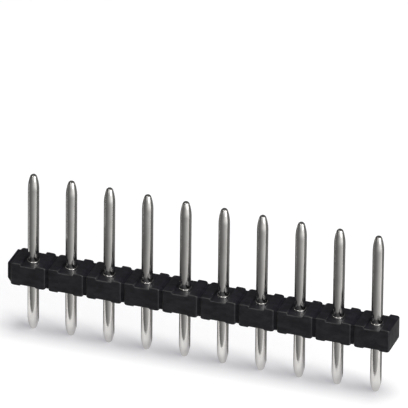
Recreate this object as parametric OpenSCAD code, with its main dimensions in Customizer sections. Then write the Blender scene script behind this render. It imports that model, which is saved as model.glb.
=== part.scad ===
// Pin header strip: one moulded housing with a row of round contact pins pressed through it.
// The origin is the middle of the row on the board plane, +X runs along the row, +Z up the contact posts.

/* [Row] */
// Distance from one pin to the next
pitch = 3.5; // [3.2:0.1:5]

/* [Housing] */
// Depth of the housing, front to back
body_depth = 2.92; // [2.4:0.02:4]
// Height of the housing over its top ribs
body_height = 2.16; // [1.6:0.02:4]
// Depth of the cross channel in the top of each pole
channel_depth = 0.2; // [0.1:0.01:0.4]
// Width of the floor of the channels, top and underside
channel_floor = 1.34; // [1.26:0.02:1.6]
// Width of the sloped step on each side of a channel
step_run = 0.07; // [0.05:0.01:0.2]
// Height of the stand-off ribs on the underside
standoff = 0.1; // [0.05:0.01:0.3]

/* [Break-off grooves] */
// Width of the groove between two poles
groove_width = 0.28; // [0.15:0.01:0.4]
// Depth of the groove in the front and the back
groove_depth = 0.16; // [0.1:0.01:0.5]
// Depth of the groove below the top ribs
groove_top = 0.13; // [0.08:0.01:0.3]
// Depth of the groove above the stand-off ribs
groove_under = 0.12; // [0.08:0.01:0.3]
// Radius of the upright edges of a pole
edge_r = 0.14; // [0.05:0.01:0.2]
// How far the rounded shoulders beside a groove run in along the top
shoulder_run = 0.3; // [0.15:0.01:0.35]
// How far the shoulders drop at the groove
shoulder_drop = 0.11; // [0.05:0.01:0.15]
// How far the rounded toes beside a groove run in along the underside
toe_run = 0.3; // [0.1:0.01:0.3]
// How far the toes rise at the groove
toe_rise = 0.1; // [0.04:0.01:0.15]
// Length of the broken web that is left on the first pole
stub_length = 0.28; // [0.1:0.01:0.4]
// Height of the slanted break under that web
stub_break = 0.42; // [0.2:0.01:0.8]

/* [Pins] */
// Diameter of a pin
pin_d = 1; // [0.8:0.02:1.1]
// Length of the contact post above the channel floor
post_length = 8.52; // [5:0.02:16]
// Length of the solder tail below the board plane
tail_length = 4.88; // [3:0.02:8]
// Length of the nose of the contact post
post_nose = 1.5; // [1:0.05:3]
// Radius of the rounded tip of the contact post
post_tip_r = 0.32; // [0.15:0.01:0.36]
// Length of the nose of the solder tail
tail_nose = 1.2; // [0.8:0.05:2]
// Radius of the rounded tip of the solder tail
tail_tip_r = 0.34; // [0.15:0.01:0.36]
// Radius of the bead that the pin sits down on
bead_r = 0.07; // [0.04:0.01:0.1]
// Height of the coined flutes above the pin's surface
flute_rise = 0.06; // [0.03:0.01:0.1]
// Depth of the coined flutes
flute_depth = 0.04; // [0.02:0.01:0.08]

/* [Hidden] */
NODES = ["housing", "pin_01", "pin_02", "pin_03", "pin_04", "pin_05",
         "pin_06", "pin_07", "pin_08", "pin_09", "pin_10"];
$fn = 48;

pole_count = len(NODES) - 1;
pole_width = pitch - groove_width;
pin_r = pin_d / 2;
channel_floor_z = body_height - channel_depth;
web_depth = body_depth - 2 * groove_depth;
web_floor_z = groove_under;
web_top_z = body_height - groove_top;
// How far a web runs into the poles that it joins
web_root = 0.3;
// How far a cutter stands out of what it cuts
over = 0.5;
// Number of coined flutes round a pin, and of steps in the two arcs of a nose
flutes = 12;
flank_steps = 6;
tip_steps = 8;

function pole_x(i) = (i - (pole_count + 1) / 2) * pitch;

// Points of an arc about the centre c, from angle a to angle b
function arc(c, r, a, b, steps) =
    [for (k = [0 : steps]) c + r * [cos(a + (b - a) * k / steps), sin(a + (b - a) * k / steps)]];

// Radius of the flank that leaves the pin's side smoothly and runs smoothly into the tip
function flank_r(nose, tip_r) = (pow(pin_r, 2) + pow(nose - tip_r, 2) - pow(tip_r, 2)) / (2 * (pin_r - tip_r));

// Half outline of a round end of the given length, with a long flank and a rounded tip
function nose_outline(length, nose, tip_r) =
    let (r = flank_r(nose, tip_r), turn = atan((nose - tip_r) / (r - pin_r)))
    concat(
        [[0, 0], [pin_r, 0]],
        arc([pin_r - r, length - nose], r, 0, turn, flank_steps),
        [for (p = arc([0, length - tip_r], tip_r, turn, 90, tip_steps)) if (p != p[0]) p]
    );

// Square with round corners, centred
module rounded_square(size, r) {
    for (turned = [false, true]) square(turned ? [size.x, size.y - 2 * r] : [size.x - 2 * r, size.y], center = true);
    for (x = [-1, 1], y = [-1, 1]) translate([x * (size.x / 2 - r), y * (size.y / 2 - r)]) circle(r);
}

// Cutter that leaves a low arc on the upper right corner, which lies at the origin
module corner_cutter(run, drop) {
    r = (pow(run, 2) + pow(drop, 2)) / (2 * drop);
    difference() {
        translate([-run, -drop]) square([run + over, drop + over]);
        translate([-run, -r]) circle(r);
    }
}

// Outline of a channel with sloped sides, its floor at the given height and its mouth towards +Y
module channel(floor_at, depth) {
    slope = step_run / depth;
    polygon([
        [-channel_floor / 2, floor_at],
        [channel_floor / 2, floor_at],
        [channel_floor / 2 + slope * (depth + over), floor_at + depth + over],
        [-channel_floor / 2 - slope * (depth + over), floor_at + depth + over]
    ]);
}

// Front view of one pole: ribs on top and underneath, with a channel between them
module pole_front() {
    difference() {
        translate([-pole_width / 2, 0]) square([pole_width, body_height]);
        for (side = [0, 1]) mirror([side, 0]) {
            translate([pole_width / 2, body_height]) corner_cutter(shoulder_run, shoulder_drop);
            translate([pole_width / 2, 0]) mirror([0, 1]) corner_cutter(toe_run, toe_rise);
        }
        channel(channel_floor_z, channel_depth);
        mirror([0, 1]) channel(-standoff, standoff);
    }
}

// Extrudes a front view to the given depth, centred on the row
module upright(depth) {
    translate([0, depth / 2, 0]) rotate([90, 0, 0]) linear_extrude(depth) children();
}

module pole() {
    intersection() {
        upright(body_depth + 2 * over) pole_front();
        translate([0, 0, -over]) linear_extrude(body_height + 2 * over)
            rounded_square([pole_width, body_depth], edge_r);
    }
}

// Web that joins two poles at the bottom of their break-off groove
module web() {
    length = groove_width + 2 * web_root;
    translate([-length / 2, -web_depth / 2, web_floor_z]) cube([length, web_depth, web_top_z - web_floor_z]);
}

// What is left of the web where the strip was broken off the longer one
module broken_stub() {
    upright(web_depth) polygon([
        [web_root, web_floor_z],
        [web_root, web_top_z],
        [-stub_length, web_top_z],
        [-stub_length, web_floor_z + stub_break],
        [0, web_floor_z]
    ]);
}

// Fluted outline of the shank, which is also the hole that it is pressed through
module fluted_outline() {
    tip = pin_r + flute_rise;
    polygon([for (k = [0 : 2 * flutes - 1]) (tip - (k % 2) * flute_depth) * [cos(180 * k / flutes), sin(180 * k / flutes)]]);
}

module housing() {
    color("#232326") difference() {
        union() {
            for (i = [1 : pole_count]) translate([pole_x(i), 0, 0]) pole();
            for (i = [1 : pole_count - 1]) translate([pole_x(i + 0.5), 0, 0]) web();
            translate([pole_x(1) - pole_width / 2, 0, 0]) broken_stub();
        }
        for (i = [1 : pole_count])
            translate([pole_x(i), 0, -over]) linear_extrude(body_height + 2 * over) fluted_outline();
    }
}

// One turned pin: solder tail, coined shank, bead and contact post
module pin(i) {
    color("#c9c7c2") translate([pole_x(i), 0, 0]) {
        translate([0, 0, standoff]) mirror([0, 0, 1]) rotate_extrude()
            polygon(nose_outline(tail_length + standoff, tail_nose, tail_tip_r));
        translate([0, 0, standoff]) linear_extrude(channel_floor_z - standoff) fluted_outline();
        translate([0, 0, channel_floor_z]) rotate_extrude() intersection() {
            translate([pin_r, 0]) circle(bead_r);
            square([pin_r + bead_r, bead_r]);
        }
        translate([0, 0, channel_floor_z]) rotate_extrude() polygon(nose_outline(post_length, post_nose, post_tip_r));
    }
}

housing();
for (i = [1 : pole_count]) pin(i);
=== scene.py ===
"""Pin header strip: a moulded housing and its turned pins as finished pieces, in soft studio light."""

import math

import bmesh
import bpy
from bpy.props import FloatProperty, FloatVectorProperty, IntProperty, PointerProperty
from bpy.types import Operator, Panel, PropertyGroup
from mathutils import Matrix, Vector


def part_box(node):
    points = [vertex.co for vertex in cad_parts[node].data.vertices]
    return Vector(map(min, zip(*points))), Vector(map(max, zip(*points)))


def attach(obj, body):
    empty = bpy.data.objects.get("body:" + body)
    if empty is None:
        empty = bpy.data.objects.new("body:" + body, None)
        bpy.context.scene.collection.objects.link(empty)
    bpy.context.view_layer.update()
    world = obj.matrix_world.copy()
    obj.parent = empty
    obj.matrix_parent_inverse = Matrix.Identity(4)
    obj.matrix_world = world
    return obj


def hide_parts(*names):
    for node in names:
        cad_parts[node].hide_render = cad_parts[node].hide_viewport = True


bl_info = {
    "name": "Pin Header Strip",
    "version": (1, 0, 0),
    "blender": (4, 5, 0),
    "location": "3D Viewport > Sidebar > Pin Header",
    "description": "Builds a moulded pin header strip with turned pins, and a studio stage for it",
    "category": "Object",
}

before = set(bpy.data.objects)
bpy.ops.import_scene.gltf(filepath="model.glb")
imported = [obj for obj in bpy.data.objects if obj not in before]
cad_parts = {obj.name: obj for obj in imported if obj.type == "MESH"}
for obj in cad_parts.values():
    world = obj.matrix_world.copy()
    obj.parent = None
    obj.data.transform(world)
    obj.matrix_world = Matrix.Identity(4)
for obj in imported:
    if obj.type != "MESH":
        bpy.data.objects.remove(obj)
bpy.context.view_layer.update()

MM = 0.001
PIN_NODES = sorted(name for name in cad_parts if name.startswith("pin_"))
HOUSING_LOW, HOUSING_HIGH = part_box("housing")
PIN_LOW, PIN_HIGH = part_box(PIN_NODES[0])
# Face strength at which a face leads the shading of the smaller ones beside it
LEADING = 16384
# Radius of the long edges underneath, as a share of those on top
UNDER_EDGE_SHARE = 0.35
# Steps in the arcs of a section's corner, of a corner in the front view, of a nose and of a bead
CORNER_STEPS = 5
STOP_STEPS = 6
NOSE_STEPS = 12
BEAD_STEPS = 6
# Places of the sections at a soft rim, counted in softnesses past it
RIM_STEPS = (-3.0, -1.5, -0.5, 0.5, 1.5)
# Distance below which two points count as one
SAME_POINT = 1e-8
# Part of a normal along one axis from which a face counts as level or upright
STRAIGHT = 0.99999
# Angles in degrees: the largest between faces that are made one, and the largest that is shaded smooth
FLAT_ANGLE = 0.05
HOUSING_CREASE = 32.0
PIN_CREASE = 40.0
# Values stored on the housing's points: a painted highlight on a round edge, and painted shade deep in a
# groove
PAINTED = ("edge_highlight", "groove_shade")

# Waves to the metre of each texture's noise
GRAIN_SCALE = (16000.0, 16000.0, 16000.0)
FLOW_SCALE = (1200.0, 2400.0, 2400.0)
RING_SCALE = (700.0, 700.0, 9000.0)
LINE_SCALE = (22000.0, 22000.0, 350.0)
BLOOM_SCALE = (1800.0, 1800.0, 500.0)
# Range that holds nearly all of a noise's values, and the middle of it
NOISE_RANGE = (0.3, 0.7)
NOISE_MIDDLE = (0.35, 0.65)
WHOLE = (0.0, 1.0)
WHITE = (1.0, 1.0, 1.0)

# Middle, width and height of each soft box, in metres
OVERHEAD_BOX = ((0.04, 0.0, 0.4), 0.2, 0.2)
SIDE_BOX = ((0.38, -0.22, 0.17), 0.4, 0.45)
SPARK_BOX = ((0.343, -0.214, 0.197), 0.11, 0.11)
RIM_BOX = ((-0.114, -0.194, 0.331), 0.1, 0.1)
# Half width of the floor, half length of the ledge, and gaps from tail tips to floor and from floor to ledge
FLOOR_REACH = 1.5
LEDGE_REACH = 0.06
FLOOR_GAP = 0.02 * MM
LEDGE_GAP = 0.01 * MM


def pin_x(node):
    """Place of a pin along the row."""
    low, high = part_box(node)
    return (low.x + high.x) / 2


PITCH = pin_x(PIN_NODES[1]) - pin_x(PIN_NODES[0])


def length(name, description, default):
    """A size in metres that the sidebar shows as a length."""
    return FloatProperty(name=name, description=description, default=default, min=0.0,
                         unit="LENGTH", precision=6)


def angle(name, description, degrees):
    """An angle that is given and shown in degrees."""
    return FloatProperty(name=name, description=description, default=math.radians(degrees),
                         subtype="ANGLE")


def amount(name, description, default):
    """A plain number that isn't below zero."""
    return FloatProperty(name=name, description=description, default=default, min=0.0)


def colour(name, description, default):
    """A colour that the sidebar shows as a swatch."""
    return FloatVectorProperty(name=name, description=description, default=default, size=3,
                               subtype="COLOR", min=0.0, max=1.0)


class HousingSettings(PropertyGroup):
    """Sizes and finish of the moulded housing."""

    groove_width: length("Groove width", "Width of the groove between two poles", 0.28 * MM)
    groove_depth: length("Groove depth", "Depth of the groove in the front and the back", 0.16 * MM)
    groove_top: length("Groove top", "Depth of the groove below the top ribs", 0.13 * MM)
    groove_under: length("Groove under", "Depth of the groove above the stand-off ribs", 0.12 * MM)
    edge_radius: length("Upright edges", "Radius of the upright edges of a pole", 0.14 * MM)
    shoulder_run: length("Shoulder run", "How far the rounded shoulders run in along the top", 0.3 * MM)
    shoulder_drop: length("Shoulder drop", "How far the shoulders drop at a groove", 0.11 * MM)
    toe_run: length("Toe run", "How far the rounded toes run in along the underside", 0.3 * MM)
    toe_rise: length("Toe rise", "How far the toes rise at a groove", 0.1 * MM)
    channel_depth: length("Channel depth", "Depth of the cross channel in the top of a pole", 0.2 * MM)
    channel_floor: length("Channel floor", "Width of the floor of the channels", 1.34 * MM)
    step_run: length("Step run", "Width of the sloped step beside a channel", 0.07 * MM)
    standoff: length("Stand-off", "Height of the stand-off ribs on the underside", 0.1 * MM)
    stub_break: length("Stub break", "Height of the slanted break under the broken web", 0.42 * MM)
    moulded_edge: length("Moulded edge", "Small radius that the mould leaves on the long edges", 0.08 * MM)
    rim_softness: length("Rim softness", "How softly the step beside a channel starts at its rim", 0.02 * MM)
    plastic: colour("Plastic", "Colour of the moulded plastic", (0.0062, 0.006, 0.0082))


class PinSettings(PropertyGroup):
    """Sizes and finish of the turned pins."""

    diameter: length("Diameter", "Diameter of a pin", 1.0 * MM)
    post_nose: length("Post nose", "Length of the nose of the contact post", 1.5 * MM)
    post_tip_radius: length("Post tip", "Radius of the rounded tip of the contact post", 0.32 * MM)
    tail_nose: length("Tail nose", "Length of the nose of the solder tail", 1.2 * MM)
    tail_tip_radius: length("Tail tip", "Radius of the rounded tip of the solder tail", 0.34 * MM)
    bead_radius: length("Bead", "Radius of the bead that a pin sits down on", 0.07 * MM)
    flute_rise: length("Flute rise", "Height of the coined flutes above the pin's surface", 0.06 * MM)
    flute_depth: length("Flute depth", "Depth of the coined flutes", 0.04 * MM)
    flutes: IntProperty(name="Flutes", description="Number of coined flutes round a pin", default=12, min=3)
    tin: colour("Tin", "Colour of the bright tin plating", (0.74, 0.725, 0.70))


class StageSettings(PropertyGroup):
    """Camera, lamps and floor."""

    azimuth: angle("Azimuth", "Turn of the camera to the right of the front", 19.0)
    elevation: angle("Elevation", "Height of the camera above the horizon", 29.0)
    roll: angle("Roll", "Turn of the camera about its own axis", 0.67)
    distance: length("Distance", "Distance from the camera to the strip", 0.85)
    aim: FloatVectorProperty(name="Aim", description="Point that the camera looks at, from the post tips",
                             default=(-0.117 * MM, 0.0, 0.059 * MM), size=3,
                             subtype="TRANSLATION", unit="LENGTH")
    lens: FloatProperty(name="Lens", description="Focal length of the camera in millimetres",
                        default=870.9, min=1.0)
    floor: colour("Floor", "Colour of the floor", (0.75, 0.75, 0.732))
    glow: colour("Glow", "Light that the floor gives off to reach white", (0.33, 0.328, 0.353))
    ledge: length("Ledge", "Reach of the pale ledge that the pins mirror, in front of the row", 3.6 * MM)
    ledge_back: length("Ledge back", "Reach of that ledge behind the row", 1.2 * MM)
    top_power: amount("Top light", "Power of the soft box overhead in watts", 1.2)
    side_power: amount("Side light", "Power of the soft box at the right front in watts", 0.75)
    spark_power: amount("Spark", "Power of the small lamp at the right front in watts", 0.3)
    rim_power: amount("Edge light", "Power of the small lamp that draws the edges in watts", 0.12)
    sky: amount("Sky", "Brightness of the studio just above the floor", 0.1)
    ceiling: amount("Ceiling", "Brightness of the studio high up", 0.2)
    screen: amount("Screen", "Brightness of the screen at the right front for shiny surfaces", 0.9)
    left: amount("Left", "Brightness of the studio to the left", 0.145)
    right: amount("Right", "Brightness of the studio to the right", 0.72)


def arc(centre, radius, start, end, steps):
    """Points of an arc in a plane, from one angle to another."""
    turns = (start + (end - start) * k / steps for k in range(steps + 1))
    return [(centre[0] + radius * math.cos(t), centre[1] + radius * math.sin(t)) for t in turns]


def own_mesh(name, bm):
    """Turns a finished bmesh into an object that lies at the origin, with its place in its mesh."""
    mesh = bpy.data.meshes.new(name)
    bm.to_mesh(mesh)
    bm.free()
    piece = bpy.data.objects.new(name, mesh)
    bpy.context.scene.collection.objects.link(piece)
    return piece


def soft_shading(piece, crease):
    """Smooth shading everywhere but at edges sharper than the crease angle."""
    piece.data.shade_smooth()
    piece.data.set_sharp_from_angle(angle=math.radians(crease))


# Materials

def principled(name):
    """A new material with its node tree and its shader."""
    material = bpy.data.materials.new(name)
    material.use_nodes = True
    tree = material.node_tree
    return material, tree, tree.nodes["Principled BSDF"]


def object_noise(tree, stretch, detail, roughness=0.55):
    """Noise laid on the piece's own coordinates, stretched by a scale in each direction."""
    place = tree.nodes.new("ShaderNodeTexCoord")
    mapping = tree.nodes.new("ShaderNodeMapping")
    mapping.inputs["Scale"].default_value = stretch
    noise = tree.nodes.new("ShaderNodeTexNoise")
    noise.inputs["Scale"].default_value = 1.0
    noise.inputs["Detail"].default_value = detail
    noise.inputs["Roughness"].default_value = roughness
    tree.links.new(place.outputs["Object"], mapping.inputs["Vector"])
    tree.links.new(mapping.outputs["Vector"], noise.inputs["Vector"])
    return noise.outputs["Fac"]


def feed(tree, socket, value):
    """Gives a socket what another socket holds, or else a plain value."""
    if isinstance(value, bpy.types.NodeSocket):
        tree.links.new(value, socket)
    else:
        socket.default_value = value


def spread(tree, value, source, target):
    """Maps a value from one range to another."""
    node = tree.nodes.new("ShaderNodeMapRange")
    node.inputs["From Min"].default_value, node.inputs["From Max"].default_value = source
    node.inputs["To Min"].default_value, node.inputs["To Max"].default_value = target
    tree.links.new(value, node.inputs["Value"])
    return node.outputs["Result"]


def calculate(tree, operation, first, second):
    """Result of one operation on two values."""
    node = tree.nodes.new("ShaderNodeMath")
    node.operation = operation
    feed(tree, node.inputs[0], first)
    feed(tree, node.inputs[1], second)
    return node.outputs["Value"]


def mix_values(tree, factor, first, second):
    """Mixes two values by a factor."""
    node = tree.nodes.new("ShaderNodeMix")
    tree.links.new(factor, node.inputs["Factor"])
    feed(tree, node.inputs[2], first)
    feed(tree, node.inputs[3], second)
    return node.outputs[0]


def mix_colours(tree, factor, first, second):
    """Mixes two colours by a factor."""
    node = tree.nodes.new("ShaderNodeMix")
    node.data_type = "RGBA"
    tree.links.new(factor, node.inputs["Factor"])
    feed(tree, node.inputs[6], first)
    feed(tree, node.inputs[7], second)
    return node.outputs[2]


def opaque(colour_values, share=1.0):
    """A colour times a share, with the fourth value that a colour socket takes."""
    return (*(channel * share for channel in colour_values), 1.0)


def bump(tree, height, strength, distance, under=None):
    """A bump from a height, laid over another bump."""
    node = tree.nodes.new("ShaderNodeBump")
    node.inputs["Strength"].default_value = strength
    node.inputs["Distance"].default_value = distance
    tree.links.new(height, node.inputs["Height"])
    if under is not None:
        tree.links.new(under, node.inputs["Normal"])
    return node.outputs["Normal"]


def painted(tree, name):
    """Value that the mesh holds for each of its points."""
    node = tree.nodes.new("ShaderNodeAttribute")
    node.attribute_name = name
    return node.outputs["Fac"]


def moulded_plastic(base):
    """Black glass-filled plastic: fine eroded texture, faint flow marks, a satin gloss, a painted highlight
    in patches on the round edges and painted shade in the grooves.
    """
    material, tree, shader = principled("moulded_plastic")
    grain = object_noise(tree, GRAIN_SCALE, detail=3.0)
    flow = object_noise(tree, FLOW_SCALE, detail=4.0)
    edge_highlight, groove_shade = (painted(tree, name) for name in PAINTED)

    tint = spread(tree, flow, NOISE_RANGE, WHOLE)
    plain = mix_colours(tree, tint, opaque(base), opaque(base, 2.2))
    # Painted highlight: the round edges take a much lighter colour, in patches
    highlight_colour = opaque([sum(base) / 3] * 3, 8.0)
    patchy_highlight = calculate(tree, "MULTIPLY", edge_highlight, spread(tree, flow, NOISE_MIDDLE, (0.45, 1.0)))
    tree.links.new(mix_colours(tree, patchy_highlight, plain, highlight_colour), shader.inputs["Base Color"])

    sheen = spread(tree, flow, NOISE_MIDDLE, (0.38, 0.52))
    # Painted shade: the gloss is turned down deep in the grooves, on top of its patchy sheen
    open_air = spread(tree, groove_shade, WHOLE, (1.0, 0.45))
    tree.links.new(calculate(tree, "MULTIPLY", sheen, open_air), shader.inputs["Specular IOR Level"])
    tree.links.new(spread(tree, grain, NOISE_RANGE, (0.3, 0.46)), shader.inputs["Roughness"])
    shader.inputs["IOR"].default_value = 1.55

    waves = bump(tree, flow, 0.6, 0.03 * MM)
    tree.links.new(bump(tree, grain, 0.3, 0.004 * MM, waves), shader.inputs["Normal"])
    return material


def bright_tin(base):
    """Electroplated tin: fine turned rings, faint lines along the pin and a soft bloom in the shine."""
    material, tree, shader = principled("bright_tin")
    rings = object_noise(tree, RING_SCALE, detail=3.0)
    lines = object_noise(tree, LINE_SCALE, detail=3.0)
    bloom = object_noise(tree, BLOOM_SCALE, detail=4.0)
    tint = spread(tree, bloom, NOISE_RANGE, WHOLE)
    tree.links.new(mix_colours(tree, tint, opaque(base), opaque(base, 0.82)), shader.inputs["Base Color"])
    tree.links.new(spread(tree, bloom, NOISE_RANGE, (0.08, 0.17)), shader.inputs["Roughness"])
    shader.inputs["Metallic"].default_value = 1.0
    turned = bump(tree, rings, 0.4, 0.003 * MM)
    tree.links.new(bump(tree, lines, 0.12, 0.002 * MM, turned), shader.inputs["Normal"])
    return material


# Housing

def stand_back(distance, run, drop):
    """How far an arc that runs in and drops stands back, at a distance in from the wall."""
    radius = (run * run + drop * drop) / (2 * drop)
    reach = max(run - distance, 0.0)
    return radius - math.sqrt(radius * radius - reach * reach)


def corner_stops(run):
    """Distances in from a wall at which a rounded corner gets a section, closer near the wall."""
    return [run * (1.0 - math.cos(math.pi / 2 * k / STOP_STEPS)) for k in range(STOP_STEPS + 1)]


def step_drop(past, run, depth, softness):
    """Drop of a sloped step at a distance past its rim, where the rim is rounded off."""
    reach = past + math.hypot(past, softness) - (math.sqrt(10.0) - 3.0) * softness
    return min(depth / run * reach / 2, depth)


def half_pole(sizes, wall):
    """Sections from a wall to the channel as (distance from the middle, half depth, underside, top)."""
    half_depth = HOUSING_HIGH.y
    top = HOUSING_HIGH.z
    edge = sizes.edge_radius
    rim = sizes.channel_floor / 2 + sizes.step_run
    runs = (edge, sizes.shoulder_run, sizes.toe_run)
    sections = []
    for stop in sorted({round(stop, 9) for run in runs for stop in corner_stops(run)}):
        sections.append((wall - stop, half_depth - stand_back(stop, edge, edge),
                         stand_back(stop, sizes.toe_run, sizes.toe_rise),
                         top - stand_back(stop, sizes.shoulder_run, sizes.shoulder_drop)))
    for step in RIM_STEPS:
        past = step * sizes.rim_softness
        sections.append((rim - past, half_depth,
                         step_drop(past, sizes.step_run, sizes.standoff, sizes.rim_softness),
                         top - step_drop(past, sizes.step_run, sizes.channel_depth, sizes.rim_softness)))
    sections.append((sizes.channel_floor / 2, half_depth, sizes.standoff, top - sizes.channel_depth))
    return sections


def strip_sections(sizes):
    """Sections along the whole strip as (place, half depth, underside, top, painted groove shade)."""
    width = PITCH - sizes.groove_width
    half = half_pole(sizes, width / 2)
    web = (HOUSING_HIGH.y - sizes.groove_depth, sizes.groove_under, HOUSING_HIGH.z - sizes.groove_top, 1.0)
    broken = (web[0], web[1] + sizes.stub_break, *web[2:])
    centres = [pin_x(node) for node in PIN_NODES]
    sections = [(HOUSING_LOW.x, *broken), (centres[0] - width / 2, *web)]
    for centre in centres:
        sections += [(centre - x, *rest, 0.0) for x, *rest in half]
        sections += [(centre + x, *rest, 0.0) for x, *rest in reversed(half)]
        if centre != centres[-1]:
            sections += [(centre + width / 2, *web), (centre + PITCH - width / 2, *web)]
    return sections


def section_ring(bm, section, radius, edge_highlight, groove_shade):
    """Ring of points round one section, with the mould's small radii on its corners, and on each point its
    painted edge highlight and painted groove shade.
    """
    x, half_depth, low, high, hidden = section
    under = radius * UNDER_EDGE_SHARE
    corners = ((under - half_depth, low + under, under, 180),
               (half_depth - under, low + under, under, 270),
               (half_depth - radius, high - radius, radius, 0),
               (radius - half_depth, high - radius, radius, 90))
    ring = []
    for y, z, corner, start in corners:
        turns = math.radians(start), math.radians(start + 90)
        for k, (place, height) in enumerate(arc((y, z), corner, *turns, CORNER_STEPS)):
            ring.append(bm.verts.new((x, place, height)))
            # Painted highlight, strongest in the middle of a corner's arc and none in a groove; painted shade
            # on the points of a groove
            ring[-1][edge_highlight] = math.sin(math.pi * k / CORNER_STEPS) * (1.0 - hidden)
            ring[-1][groove_shade] = hidden
    return ring


def loft(bm, sections, radius):
    """Draws a solid along X through sections with round corners, and joins faces that lie in one plane."""
    # Layers for the painted edge highlight and the painted groove shade
    for name in PAINTED:
        bm.verts.layers.float.new(name)
    layers = [bm.verts.layers.float[name] for name in PAINTED]
    rings = [section_ring(bm, section, radius, *layers) for section in sections]
    for first, second in zip(rings, rings[1:]):
        for k in range(len(first)):
            bm.faces.new((first[k - 1], first[k], second[k], second[k - 1]))
    bm.faces.new(rings[0])
    bm.faces.new(rings[-1])
    bmesh.ops.recalc_face_normals(bm, faces=bm.faces)
    bmesh.ops.dissolve_limit(bm, angle_limit=math.radians(FLAT_ANGLE), verts=bm.verts, edges=bm.edges)


def rank_flat_faces(bm):
    """Ranks the level and upright flat faces first, so that they keep their shading up to the round edges."""
    strength = bm.faces.layers.int.new("__mod_weightednormals_faceweight")
    bm.normal_update()
    for face in bm.faces:
        if max(abs(part) for part in face.normal) > STRAIGHT:
            face[strength] = LEADING


def fluted_ring(bm, pin, place, height):
    """Ring of points of a pin's coined shank, with flutes pressed into it."""
    tip = pin.diameter / 2 + pin.flute_rise
    matrix = Matrix.Translation((place, 0.0, height))
    ring = bmesh.ops.create_circle(bm, segments=2 * pin.flutes, radius=tip, matrix=matrix)["verts"]
    valley = 1.0 - pin.flute_depth / tip
    for vert in ring:
        turn = math.atan2(vert.co.y, vert.co.x - place)
        if round(turn / (math.pi / pin.flutes)) % 2:
            vert.co = ((vert.co.x - place) * valley + place, vert.co.y * valley, height)
    return ring


def ring_edges(verts):
    """Edges that run from one of these points to another."""
    chosen = set(verts)
    return list({edge for vert in verts for edge in vert.link_edges if edge.other_vert(vert) in chosen})


def floor_face(bm, place, height, way):
    """The face of a channel floor at a height that faces up or down and lies round a place."""
    level = [face for face in bm.faces if face.normal.z * way > STRAIGHT]
    floors = [face for face in level if abs(face.calc_center_median().z - height) < 10 * SAME_POINT]
    return min(floors, key=lambda face: abs(face.calc_center_median().x - place))


def drill_shank_hole(bm, pin, place, floors):
    """Cuts the fluted hole for one pin through the channel floors above and below."""
    rings = []
    for height, way in floors:
        rings.append(ring_edges(fluted_ring(bm, pin, place, height)))
        face = floor_face(bm, place, height, way)
        outline = list(face.edges)
        bmesh.ops.delete(bm, geom=[face], context="FACES_ONLY")
        bmesh.ops.triangle_fill(bm, edges=outline + rings[-1], use_beauty=True, normal=(0.0, 0.0, way))
    bmesh.ops.bridge_loops(bm, edges=rings[0] + rings[1])


def build_housing(housing, pin):
    """The one-piece moulding with its poles, webs, channels and fluted holes."""
    bm = bmesh.new()
    loft(bm, strip_sections(housing), housing.moulded_edge)
    floors = ((HOUSING_HIGH.z - housing.channel_depth, 1.0), (housing.standoff, -1.0))
    for node in PIN_NODES:
        bm.normal_update()
        drill_shank_hole(bm, pin, pin_x(node), floors)
    bmesh.ops.recalc_face_normals(bm, faces=bm.faces)
    rank_flat_faces(bm)
    piece = own_mesh("housing_moulding", bm)
    soft_shading(piece, HOUSING_CREASE)
    level = piece.modifiers.new("level_faces", "WEIGHTED_NORMAL")
    level.keep_sharp = True
    level.use_face_influence = True
    return piece


# Pins

def nose(pin_radius, nose_length, tip_radius):
    """Outline of a nose as (radius, distance from its tip), from the tip to the side of the pin."""
    reach = nose_length - tip_radius
    flank = (pin_radius ** 2 + reach ** 2 - tip_radius ** 2) / (2 * (pin_radius - tip_radius))
    turn = math.atan2(reach, flank - pin_radius)
    tip = arc((0.0, tip_radius), tip_radius, -math.pi / 2, -turn, NOSE_STEPS)
    side = arc((pin_radius - flank, nose_length), flank, -turn, 0.0, NOSE_STEPS)
    return tip + side[1:]


def pin_outline(pin, floor_height, under_height):
    """Outline of a whole pin as (radius, height), from the tip of the tail to the tip of the post."""
    radius = pin.diameter / 2
    coined = radius + pin.flute_rise
    tail = [(r, PIN_LOW.z + d) for r, d in nose(radius, pin.tail_nose, pin.tail_tip_radius)]
    shank = [(radius, under_height), (coined, under_height), (coined, floor_height)]
    bead = arc((radius, floor_height), pin.bead_radius, 0.0, math.pi / 2, BEAD_STEPS)
    foot = [(radius, bead[-1][1])]
    post = [(r, PIN_HIGH.z - d) for r, d in reversed(nose(radius, pin.post_nose, pin.post_tip_radius))]
    return tail + shank + bead + foot + post


def coin_shank(bm, pin, floor_height, under_height):
    """Presses the flutes into the shank: the points between two flute tips move in to the flute's side."""
    tip = pin.diameter / 2 + pin.flute_rise
    valley = tip - pin.flute_depth
    half_flute = math.pi / pin.flutes
    start = Vector((tip, 0.0))
    side = Vector((valley * math.cos(half_flute), valley * math.sin(half_flute))) - start
    for vert in bm.verts:
        radius = math.hypot(vert.co.x, vert.co.y)
        in_shank = under_height - SAME_POINT <= vert.co.z <= floor_height + SAME_POINT
        if in_shank and abs(radius - tip) < 10 * SAME_POINT:
            turn = math.atan2(vert.co.y, vert.co.x) % (2 * half_flute)
            turn = min(turn, 2 * half_flute - turn)
            ray = Vector((math.cos(turn), math.sin(turn)))
            share = start.cross(side) / ray.cross(side) / radius
            vert.co.x *= share
            vert.co.y *= share


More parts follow.
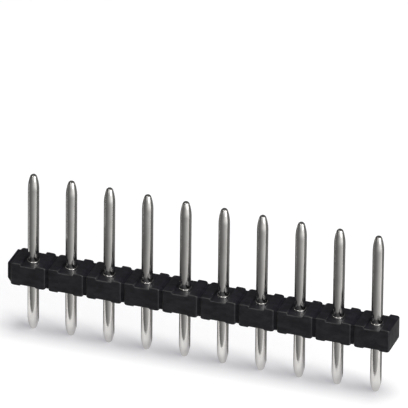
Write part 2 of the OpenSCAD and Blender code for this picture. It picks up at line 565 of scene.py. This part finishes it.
def build_pin(pin, node, floor_height, under_height):
    """One turned pin, spun from its outline, with its shank coined where the housing holds it."""
    bm = bmesh.new()
    points = [bm.verts.new((r, 0.0, z)) for r, z in pin_outline(pin, floor_height, under_height)]
    edges = [bm.edges.new(pair) for pair in zip(points, points[1:])]
    bmesh.ops.spin(bm, geom=points + edges, cent=(0.0, 0.0, 0.0), axis=(0.0, 0.0, 1.0),
                   angle=2 * math.pi, steps=4 * pin.flutes, use_merge=True)
    bmesh.ops.remove_doubles(bm, verts=bm.verts, dist=SAME_POINT)
    coin_shank(bm, pin, floor_height, under_height)
    bmesh.ops.translate(bm, verts=bm.verts, vec=(pin_x(node), 0.0, 0.0))
    bmesh.ops.recalc_face_normals(bm, faces=bm.faces)
    piece = own_mesh("turned_" + node, bm)
    soft_shading(piece, PIN_CREASE)
    return piece


# Stage

def look_at(eye, target, roll):
    """Matrix of a camera or lamp at eye that faces target, turned about its own axis."""
    turn = (target - eye).to_track_quat("-Z", "Y").to_matrix().to_4x4()
    return Matrix.Translation(eye) @ turn @ Matrix.Rotation(roll, 4, "Z")


def add_camera(stage):
    """Camera at the photograph's angle, aimed at the row of post tips."""
    data = bpy.data.cameras.new("camera")
    data.lens = stage.lens
    data.sensor_width = 36.0
    data.clip_start = 0.01
    data.clip_end = 10.0
    camera = bpy.data.objects.new("camera", data)
    bpy.context.scene.collection.objects.link(camera)
    flat = math.cos(stage.elevation)
    rise = math.sin(stage.elevation)
    back = Vector((math.sin(stage.azimuth) * flat, -math.cos(stage.azimuth) * flat, rise))
    aim = Vector((0.0, 0.0, PIN_HIGH.z)) + Vector(stage.aim)
    camera.matrix_world = look_at(aim + back * stage.distance, aim, stage.roll)
    bpy.context.scene.camera = camera


def add_soft_box(name, place, width, height, power):
    """A soft box that faces the strip."""
    data = bpy.data.lights.new(name, "AREA")
    data.shape = "RECTANGLE"
    data.size = width
    data.size_y = height
    data.energy = power
    lamp = bpy.data.objects.new(name, data)
    bpy.context.scene.collection.objects.link(lamp)
    lamp.matrix_world = look_at(Vector(place), Vector(), 0.0)
    return lamp


def seen_by(tree, kind):
    """One for rays of this kind and zero for the others."""
    return tree.nodes.new("ShaderNodeLightPath").outputs[kind]


def studio_light(tree, stage, x, y, z):
    """Brightness of the studio in the direction x, y, z."""
    to_right = calculate(tree, "POWER", spread(tree, x, (-0.8, 0.85), WHOLE), 2.0)
    glare = calculate(tree, "MULTIPLY", to_right, spread(tree, z, (-0.46, -0.28), (1.0, 1.9)))
    front = spread(tree, glare, (0.0, 2.0), (stage.left, 2.0 * stage.right - stage.left))
    back = spread(tree, x, (-0.3, 0.3), (stage.sky, 1.4 * stage.left))
    below = mix_values(tree, spread(tree, y, (-0.1, 0.15), WHOLE), front, back)
    ceiling = spread(tree, z, (0.35, 0.8), (stage.sky, stage.ceiling))
    to_right_front = calculate(tree, "SUBTRACT", x, y)
    screen = spread(tree, to_right_front, (0.2, 0.9), (stage.sky, stage.screen))
    above = mix_values(tree, seen_by(tree, "Is Glossy Ray"), ceiling, screen)
    return mix_values(tree, spread(tree, z, (-0.05, 0.1), WHOLE), below, above)


def add_surround(stage):
    """A dim studio that is brighter to the right below the horizon, and plain white to the camera."""
    world = bpy.data.worlds.new("surround")
    world.use_nodes = True
    tree = world.node_tree
    background = tree.nodes["Background"]
    place = tree.nodes.new("ShaderNodeTexCoord")
    split = tree.nodes.new("ShaderNodeSeparateXYZ")
    tree.links.new(place.outputs["Generated"], split.inputs["Vector"])
    studio = studio_light(tree, stage, *(split.outputs[axis] for axis in "XYZ"))
    shown = mix_colours(tree, seen_by(tree, "Is Camera Ray"), studio, opaque(WHITE))
    tree.links.new(shown, background.inputs["Color"])
    background.inputs["Strength"].default_value = 1.0
    bpy.context.scene.world = world


def floor_material(stage):
    """Paper that takes the shadow by its colour and glows to white for the camera and for shiny metal."""
    material, tree, shader = principled("floor_paper")
    shader.inputs["Base Color"].default_value = opaque(stage.floor)
    shader.inputs["Roughness"].default_value = 1.0
    shader.inputs["Specular IOR Level"].default_value = 0.0
    shader.inputs["Emission Color"].default_value = opaque(stage.glow)
    glowing = calculate(tree, "MAXIMUM", seen_by(tree, "Is Camera Ray"), seen_by(tree, "Is Glossy Ray"))
    tree.links.new(glowing, shader.inputs["Emission Strength"])
    return material


def flat_sheet(name, x_reach, front, back, height):
    """A level sheet across the row, from its front edge to its back edge."""
    bm = bmesh.new()
    size = Matrix.Diagonal((x_reach, (back - front) / 2, 1.0, 1.0))
    place = Matrix.Translation((0.0, (front + back) / 2, height))
    bmesh.ops.create_grid(bm, x_segments=1, y_segments=1, size=1.0, matrix=place @ size)
    return own_mesh(name, bm)


def add_floor(stage):
    """A pale floor just under the tips of the solder tails, and the narrower ledge that the pins mirror."""
    paper = floor_material(stage)
    height = PIN_LOW.z - FLOOR_GAP
    floor = flat_sheet("floor", FLOOR_REACH, -FLOOR_REACH, FLOOR_REACH, height)
    floor.visible_glossy = False
    ledge = flat_sheet("ledge", LEDGE_REACH, -stage.ledge, stage.ledge_back, height + LEDGE_GAP)
    ledge.visible_camera = False
    ledge.visible_diffuse = False
    ledge.visible_shadow = False
    for sheet in (floor, ledge):
        sheet.data.materials.append(paper)


# Operators

class HEADER_OT_housing(Operator):
    """Model the housing over its CAD solid"""

    bl_idname = "header.housing"
    bl_label = "Build Housing"

    def execute(self, context):
        scene = context.scene
        piece = build_housing(scene.header_housing, scene.header_pin)
        piece.data.materials.append(moulded_plastic(scene.header_housing.plastic))
        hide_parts("housing")
        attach(piece, "root")
        return {"FINISHED"}


class HEADER_OT_pins(Operator):
    """Turn the pins, each over its own CAD solid"""

    bl_idname = "header.pins"
    bl_label = "Turn Pins"

    def execute(self, context):
        scene = context.scene
        housing = scene.header_housing
        floor_height = HOUSING_HIGH.z - housing.channel_depth
        material = bright_tin(scene.header_pin.tin)
        for node in PIN_NODES:
            piece = build_pin(scene.header_pin, node, floor_height, housing.standoff)
            piece.data.materials.append(material)
            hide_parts(node)
            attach(piece, "root")
        return {"FINISHED"}


class HEADER_OT_stage(Operator):
    """Set up the camera, the lamps and the floor"""

    bl_idname = "header.stage"
    bl_label = "Set Stage"

    def execute(self, context):
        stage = context.scene.header_stage
        add_camera(stage)
        add_surround(stage)
        overhead = add_soft_box("overhead", *OVERHEAD_BOX, stage.top_power)
        overhead.visible_glossy = False
        add_soft_box("side", *SIDE_BOX, stage.side_power)
        add_soft_box("spark", *SPARK_BOX, stage.spark_power)
        rim = add_soft_box("rim", *RIM_BOX, stage.rim_power)
        rim.visible_diffuse = False
        add_floor(stage)
        context.scene.view_settings.view_transform = "Standard"
        return {"FINISHED"}


class HEADER_PT_sidebar(Panel):
    """Sizes, finishes and build steps of the pin header strip"""

    bl_idname = "HEADER_PT_sidebar"
    bl_label = "Pin Header"
    bl_space_type = "VIEW_3D"
    bl_region_type = "UI"
    bl_category = "Pin Header"

    def draw(self, context):
        scene = context.scene
        for operator, settings in ((HEADER_OT_stage, scene.header_stage),
                                   (HEADER_OT_housing, scene.header_housing),
                                   (HEADER_OT_pins, scene.header_pin)):
            box = self.layout.box()
            for name in settings.__annotations__:
                box.prop(settings, name)
            box.operator(operator.bl_idname)


CLASSES = (HousingSettings, PinSettings, StageSettings, HEADER_OT_housing, HEADER_OT_pins, HEADER_OT_stage,
           HEADER_PT_sidebar)


def register():
    for cls in CLASSES:
        bpy.utils.register_class(cls)
    bpy.types.Scene.header_housing = PointerProperty(type=HousingSettings)
    bpy.types.Scene.header_pin = PointerProperty(type=PinSettings)
    bpy.types.Scene.header_stage = PointerProperty(type=StageSettings)


def unregister():
    del bpy.types.Scene.header_stage
    del bpy.types.Scene.header_pin
    del bpy.types.Scene.header_housing
    for cls in reversed(CLASSES):
        bpy.utils.unregister_class(cls)


def main():
    register()
    bpy.ops.header.stage()
    bpy.ops.header.housing()
    bpy.ops.header.pins()


if __name__ == "__main__":
    main()
